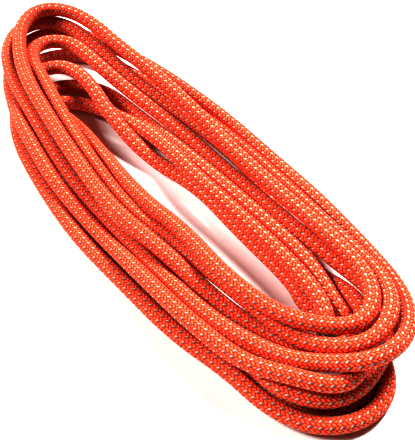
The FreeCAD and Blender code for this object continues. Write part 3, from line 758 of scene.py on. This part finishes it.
def sleeve_profile():
    """The sleeve's section: out along its outside, back along its bore, with rounded lips."""
    start = TIP_LENGTH + SLEEVE_SETBACK
    end = start + SLEEVE_LENGTH
    first_lip = [(start + along, SLEEVE_RADIUS - down) for along, down in LIP]
    last_lip = [(end - along, SLEEVE_RADIUS - down) for along, down in reversed(LIP)]
    steps = range(1, SLEEVE_STEPS)
    outside = [(start + (end - start) * i / SLEEVE_STEPS, SLEEVE_RADIUS) for i in steps]
    inside = [(along, SLEEVE_BORE) for along in (end, start + SLEEVE_LENGTH / 2.0, start)]
    return first_lip + outside + last_lip + inside


def make_sleeve(line, letter, flip, material):
    """Shrunk film over the rope's end: the braid below shows through as soft relief."""

    def uneven(distance, angle, radius):
        columns = angle / (2.0 * math.pi) * COLUMNS
        soft = braid_height(columns, distance / (CELL_LENGTH * MM)) - MEAN_HEIGHT
        relief = FILM_BRAID * MM * soft + FILM_UNEVEN * MM * bumps(distance, angle)
        return np.where(radius > (SLEEVE_BORE + JUST_OUTSIDE) * MM, relief, 0.0)

    profile = sleeve_profile()
    quads = closed_quads(len(profile), AROUND_END)
    if not flip:
        quads = quads[:, ::-1]
    name = "end_sleeve_film_" + letter
    mesh = mesh_of(name, turned_places(line, profile, flip, uneven), quads)
    return add_piece(name, mesh, material, "end_sleeve_" + letter)


def make_tip(line, letter, flip, material):
    """Sheath and core melted together by a hot knife: a low dome with a rolled bead around the
    sheath, a little lumpy."""

    def uneven(distance, angle, radius):
        return TIP_UNEVEN * MM * bumps(distance, angle) * np.clip(radius / (CALM_RADIUS * MM), 0.0, 1.0)

    bead = ROPE / 2.0 + BEAD
    profile = [(along, bead - down) for along, down in TIP_OUTLINE]
    places = turned_places(line, profile, flip, uneven)
    first, last = len(places), len(places) + 1
    last_row = len(places) - AROUND_END
    middles = [places[:AROUND_END].mean(axis=0), places[last_row:].mean(axis=0)]
    places = np.concatenate([places, middles])
    caps = []
    for i in range(AROUND_END):
        j = (i + 1) % AROUND_END
        caps.append([first, j, i])
        caps.append([last, last_row + i, last_row + j])
    quads, caps = grid_quads(len(profile), AROUND_END), np.array(caps)
    if not flip:
        quads, caps = quads[:, ::-1], caps[:, ::-1]
    name = "fused_end_" + letter
    mesh = mesh_of(name, places, quads, caps)
    return add_piece(name, mesh, material, "fused_tip_" + letter)


# Materials
def new_material(name):
    material = bpy.data.materials.new(name)
    material.use_nodes = True
    tree = material.node_tree
    tree.nodes.clear()
    output = tree.nodes.new("ShaderNodeOutputMaterial")
    shader = tree.nodes.new("ShaderNodeBsdfPrincipled")
    tree.links.new(shader.outputs["BSDF"], output.inputs["Surface"])
    return material, tree, shader


def put(tree, socket, value):
    """A socket takes another node's result, or a number or colour."""
    if isinstance(value, bpy.types.NodeSocket):
        tree.links.new(value, socket)
    else:
        socket.default_value = value


def calc(tree, operation, *values, clamp=False):
    node = tree.nodes.new("ShaderNodeMath")
    node.operation = operation
    node.use_clamp = clamp
    for socket, value in zip(node.inputs, values):
        put(tree, socket, value)
    return node.outputs[0]


def mixed(tree, share, first, second):
    """A colour between two, by a share from 0 to 1."""
    node = tree.nodes.new("ShaderNodeMix")
    node.data_type = "RGBA"
    put(tree, node.inputs[MIX_SHARE], share)
    put(tree, node.inputs[MIX_FIRST], first)
    put(tree, node.inputs[MIX_SECOND], second)
    return node.outputs[MIX_RESULT]


def noise(tree, place, scale, detail=3.0, roughness=0.5):
    node = tree.nodes.new("ShaderNodeTexNoise")
    put(tree, node.inputs["Vector"], place)
    node.inputs["Scale"].default_value = scale
    node.inputs["Detail"].default_value = detail
    node.inputs["Roughness"].default_value = roughness
    return node.outputs[0]


def combined(tree, x, y, z=0.0):
    node = tree.nodes.new("ShaderNodeCombineXYZ")
    for socket, value in zip(node.inputs, (x, y, z)):
        put(tree, socket, value)
    return node.outputs[0]


def bumped(tree, shader, height, distance, strength=1.0):
    """Relief that only the light sees; distance is its depth in millimetres."""
    node = tree.nodes.new("ShaderNodeBump")
    node.inputs["Strength"].default_value = strength
    node.inputs["Distance"].default_value = distance * MM
    put(tree, node.inputs["Height"], height)
    tree.links.new(node.outputs["Normal"], shader.inputs["Normal"])


def object_place(tree):
    return tree.nodes.new("ShaderNodeTexCoord").outputs["Object"]


def remap(tree, value, low, high, at_low=0.0, at_high=1.0):
    """at_low where the value is low or less, at_high where it is high or more."""
    node = tree.nodes.new("ShaderNodeMapRange")
    for socket, number in zip(node.inputs[:5], (value, low, high, at_low, at_high)):
        put(tree, socket, number)
    return node.outputs[0]


def hump(tree, value, reach, power):
    """1 where the value is 0, falling to 0 where it is as far from 0 as reach, either way."""
    away = calc(tree, "ABSOLUTE", calc(tree, "DIVIDE", value, reach))
    return calc(tree, "SUBTRACT", 1.0, calc(tree, "POWER", away, power), clamp=True)


def picked(tree, is_first, first, second):
    """The first value where is_first is 1 and the second where it is 0."""
    kept = calc(tree, "MULTIPLY", first, is_first)
    other = calc(tree, "MULTIPLY", second, calc(tree, "SUBTRACT", 1.0, is_first))
    return calc(tree, "ADD", kept, other)


def bundle_nodes(tree, column, cell, centre, lean, shift):
    """One family of bundles, by the same formula as braid_height."""
    across = calc(tree, "WRAP", calc(tree, "SUBTRACT", column, centre), 1.0, -1.0)
    rows = calc(tree, "ADD", calc(tree, "MULTIPLY_ADD", across, lean, cell), shift)
    along = calc(tree, "SUBTRACT", calc(tree, "FRACT", rows), 0.5)
    ends = hump(tree, across, BUNDLE_REACH, END_POWER)
    flanks = hump(tree, along, 0.5, FLANK_POWER)
    return Bundle(calc(tree, "MULTIPLY", ends, flanks), across, along, calc(tree, "FLOOR", rows))


def fleck_nodes(tree, column, bundle, is_first, yarn):
    """Where the flecks are, and which are grey. They lie in every other row of the first family, and
    half-way around the rope the white and the grey yarn change places."""
    even = calc(tree, "LESS_THAN", calc(tree, "FRACT", calc(tree, "MULTIPLY", bundle.row, 0.5)), 0.25)
    short = remap(tree, calc(tree, "ABSOLUTE", bundle.across), low=0.30, high=0.42, at_low=1.0, at_high=0.0)
    narrow = remap(tree, calc(tree, "ABSOLUTE", yarn), low=0.38, high=0.48, at_low=1.0, at_high=0.0)
    in_row = calc(tree, "MULTIPLY", even, is_first)
    flecked = calc(tree, "MULTIPLY", in_row, calc(tree, "MULTIPLY", short, narrow))
    turned = calc(tree, "FRACT", calc(tree, "DIVIDE", column, float(COLUMNS)))
    half_way = calc(tree, "GREATER_THAN", turned, 0.5)
    ahead = calc(tree, "GREATER_THAN", bundle.along, 0.0)
    return flecked, calc(tree, "ABSOLUTE", calc(tree, "SUBTRACT", ahead, half_way))


def sheath_material():
    """Braided polyamide: orange bundles of two yarns, and in every other row of every other column
    a white yarn beside a grey one."""
    material, tree, shader = new_material("braided orange sheath")
    uv = tree.nodes.new("ShaderNodeUVMap")
    uv.uv_map = "braid"
    separate = tree.nodes.new("ShaderNodeSeparateXYZ")
    tree.links.new(uv.outputs[0], separate.inputs[0])
    column, cell = separate.outputs[0], separate.outputs[1]
    first, second = [bundle_nodes(tree, column, cell, *family) for family in FAMILIES]
    is_first = calc(tree, "GREATER_THAN", first.height, second.height)
    height = calc(tree, "MAXIMUM", first.height, second.height)
    along = picked(tree, is_first, first.along, second.along)
    across = picked(tree, is_first, first.across, second.across)
    row = picked(tree, is_first, first.row, second.row)

    # Two yarns lie beside each other in a bundle, each of fine filaments.
    yarn = calc(tree, "SUBTRACT", calc(tree, "FRACT", calc(tree, "MULTIPLY", along, 2.0)), 0.5)
    yarn_height = hump(tree, yarn, 0.5, FLANK_POWER)
    over_length = calc(tree, "MULTIPLY", across, CHANGES_OVER_LENGTH)
    over_width = calc(tree, "MULTIPLY", along, CHANGES_OVER_WIDTH)
    filaments = noise(tree, combined(tree, over_length, over_width, row), scale=1.0, detail=2.0)
    dye = tree.nodes.new("ShaderNodeTexWhiteNoise")
    dye.noise_dimensions = "2D"
    put(tree, dye.inputs["Vector"], combined(tree, calc(tree, "FLOOR", column), row))

    # A bundle shows as a pill: painted shade in deep red at its rim and along the line between its two
    # yarns, its own orange on it, and a painted highlight, pale, along its crest.
    middle = hump(tree, across, LIT_PILL_REACH, END_POWER)
    # Painted shade darkens the line between the two yarns
    shade_between_yarns = remap(tree, yarn_height, low=0.0, high=0.6, at_low=0.72)
    painted_light = calc(tree, "MULTIPLY", calc(tree, "MULTIPLY", height, middle), shade_between_yarns)
    # Painted shade where the pill is low, and painted highlight where it is high
    base = mixed(tree, remap(tree, painted_light, low=0.20, high=0.52), SHADE_AND_DYE_RED, ORANGE)
    base = mixed(tree, remap(tree, painted_light, low=0.46, high=0.78, at_high=0.9), base, LIT_ORANGE)
    base = mixed(tree, remap(tree, dye.outputs[0], low=0.0, high=1.0, at_high=0.25), base, SHADE_AND_DYE_RED)
    # Streaks of the painted highlight's colour where the filaments' noise is high, the same noise that
    # raises the filaments' relief
    base = mixed(tree, remap(tree, filaments, low=0.35, high=0.8, at_high=0.16), base, LIT_ORANGE)

    flecked, is_grey = fleck_nodes(tree, column, first, is_first, yarn)
    fleck = mixed(tree, is_grey, WHITE_YARN, GREY_YARN)
    fleck = mixed(tree, remap(tree, filaments, low=0.3, high=0.8, at_high=0.3), fleck, GREY_YARN)
    put(tree, shader.inputs["Base Color"], mixed(tree, flecked, base, fleck))

    yarn_relief = calc(tree, "MULTIPLY", calc(tree, "MULTIPLY", yarn_height, height), YARN_RELIEF)
    filament_relief = calc(tree, "MULTIPLY", filaments, FILAMENT_RELIEF)
    relief = calc(tree, "ADD", calc(tree, "ADD", height, yarn_relief), filament_relief)
    bumped(tree, shader, relief, distance=0.30, strength=0.8)
    roughness = remap(tree, filaments, low=0.2, high=0.8, at_low=0.5, at_high=0.72)
    put(tree, shader.inputs["Roughness"], roughness)
    shader.inputs["Sheen Weight"].default_value = 0.03
    shader.inputs["Sheen Roughness"].default_value = 0.45
    shader.inputs["Sheen Tint"].default_value = SHEEN_TINT
    shader.inputs["Specular IOR Level"].default_value = 0.10
    return material


def core_material():
    """Undyed twisted polyamide."""
    material, tree, shader = new_material("white core yarn")
    place = object_place(tree)
    fibres = noise(tree, place, scale=900.0, detail=4.0)
    clouds = noise(tree, place, scale=60.0, detail=2.0)
    colour = mixed(tree, fibres, UNDYED_SHADE, UNDYED)
    colour = mixed(tree, remap(tree, clouds, low=0.3, high=0.7, at_high=0.3), colour, UNDYED_YELLOWED)
    put(tree, shader.inputs["Base Color"], colour)
    roughness = remap(tree, fibres, low=0.2, high=0.8, at_low=0.55, at_high=0.8)
    put(tree, shader.inputs["Roughness"], roughness)
    bumped(tree, shader, fibres, distance=0.1)
    shader.inputs["Sheen Weight"].default_value = 0.2
    return material


def sleeve_material():
    """Black shrunk film, a little glossy, with fine scuffs."""
    material, tree, shader = new_material("black shrunk film")
    place = object_place(tree)
    fine = noise(tree, place, scale=1400.0, detail=4.0)
    broad = noise(tree, place, scale=180.0)
    put(tree, shader.inputs["Base Color"], mixed(tree, broad, FILM_BLACK, FILM_WORN))
    roughness = remap(tree, broad, low=0.3, high=0.7, at_low=0.28, at_high=0.45)
    put(tree, shader.inputs["Roughness"], roughness)
    bumped(tree, shader, calc(tree, "ADD", calc(tree, "MULTIPLY", fine, 0.3), broad), distance=0.06)
    return material


def tip_material():
    """Melted polyamide: glassy, dark where it burned, with orange and white drawn into it."""
    material, tree, shader = new_material("melted rope end")
    place = object_place(tree)
    swirls = noise(tree, place, scale=260.0, detail=5.0, roughness=0.6)
    fine = noise(tree, place, scale=1500.0)
    colour = mixed(tree, remap(tree, swirls, low=0.35, high=0.65), MELTED_RED, MELTED_ORANGE)
    colour = mixed(tree, remap(tree, swirls, low=0.55, high=0.75, at_high=0.8), colour, MELTED_WHITE)
    colour = mixed(tree, remap(tree, fine, low=0.5, high=0.8, at_high=0.7), colour, BURNED)
    put(tree, shader.inputs["Base Color"], colour)
    put(tree, shader.inputs["Roughness"], remap(tree, fine, low=0.3, high=0.7, at_low=0.25, at_high=0.5))
    bumped(tree, shader, calc(tree, "ADD", swirls, calc(tree, "MULTIPLY", fine, 0.3)), distance=0.25)
    return material


def floor_material():
    material, tree, shader = new_material("plain pale floor")
    grain = noise(tree, object_place(tree), scale=40.0, detail=4.0)
    put(tree, shader.inputs["Base Color"], mixed(tree, grain, FLOOR_SHADE, FLOOR_WHITE))
    shader.inputs["Roughness"].default_value = 0.9
    shader.inputs["Specular IOR Level"].default_value = 0.1
    return material


# Scene
def make_camera(shift):
    """The photograph's view; its place is known in the axes of the stations."""
    data = bpy.data.cameras.new("photo_view")
    data.sensor_fit = "HORIZONTAL"
    data.sensor_width = SENSOR
    data.lens = SENSOR * CAMERA_FOCAL / PHOTO_WIDTH
    data.clip_start = NEAREST_SEEN
    camera = bpy.data.objects.new("photo_view", data)
    bpy.context.scene.collection.objects.link(camera)
    heading, pitch = math.radians(CAMERA_HEADING), math.radians(CAMERA_PITCH)
    level = math.cos(pitch)
    way = Vector((math.cos(heading) * level, math.sin(heading) * level, -math.sin(pitch)))
    camera.location = Vector(add(CAMERA_PLACE, shift)) * MM
    camera.rotation_euler = way.to_track_quat("-Z", "Y").to_euler()
    bpy.context.scene.camera = camera


def add_soft_light(name, towards, strength, width, colour):
    """A distant soft light. towards points from the rope to it; width is its angle in degrees."""
    data = bpy.data.lights.new(name, "SUN")
    data.energy = strength
    data.angle = math.radians(width)
    data.color = colour
    light = bpy.data.objects.new(name, data)
    light.location = towards
    light.rotation_euler = (-Vector(towards)).to_track_quat("-Z", "Y").to_euler()
    bpy.context.scene.collection.objects.link(light)


def make_lights():
    """Two high soft lights, the stronger one on the right and behind, and a weak pale surround."""
    add_soft_light("right_light", towards=(-0.28, 0.72, 1.12), strength=7.3, width=17.0,
                   colour=(1.0, 0.99, 0.97))
    add_soft_light("left_light", towards=(-0.55, -0.84, 0.88), strength=5.0, width=21.0,
                   colour=(1.0, 0.98, 0.96))
    world = bpy.data.worlds.new("studio")
    world.use_nodes = True
    background = world.node_tree.nodes["Background"]
    background.inputs["Color"].default_value = (1.0, 1.0, 1.0, 1.0)
    background.inputs["Strength"].default_value = SURROUND_STRENGTH
    bpy.context.scene.world = world


def make_floor():
    mesh = bpy.data.meshes.new("floor")
    sides = ((-1.0, -1.0), (1.0, -1.0), (1.0, 1.0), (-1.0, 1.0))
    mesh.from_pydata([(x * FLOOR_HALF, y * FLOOR_HALF, -FLOOR_DROP) for x, y in sides], [], [(0, 1, 2, 3)])
    mesh.materials.append(floor_material())
    floor = bpy.data.objects.new("floor", mesh)
    bpy.context.scene.collection.objects.link(floor)


def make_core(line):
    """The core strands, numbered from the inner ring on."""
    yarn = core_material()
    radius, inner_ring, outer_ring = core_rings()
    strands = []
    for count, ring in ((INNER_STRANDS, inner_ring), (OUTER_STRANDS, outer_ring)):
        for place in range(count):
            angle = 2.0 * math.pi * place / count
            strands.append(make_core_yarn(line, yarn, len(strands) + 1, ring, angle, radius))
    return strands


def make_ends(line):
    """The sleeve and the melted tip at both ends; those of the far end are turned round."""
    film, melt = sleeve_material(), tip_material()
    pieces = []
    for letter, flip in (("a", False), ("b", True)):
        pieces.append(make_sleeve(line, letter, flip, film))
        pieces.append(make_tip(line, letter, flip, melt))
    return pieces


def make_rope(route):
    line = RopeLine(smooth_line(route))
    sheath, middle = make_sheath(line, sheath_material())
    pieces = make_core(line) + make_ends(line)


def main():
    route, shift = settled_route()
    make_camera(shift)
    make_rope(route)
    make_floor()
    make_lights()
    view = bpy.context.scene.view_settings
    view.view_transform = "Standard"
    view.gamma = PHOTO_GAMMA


main()
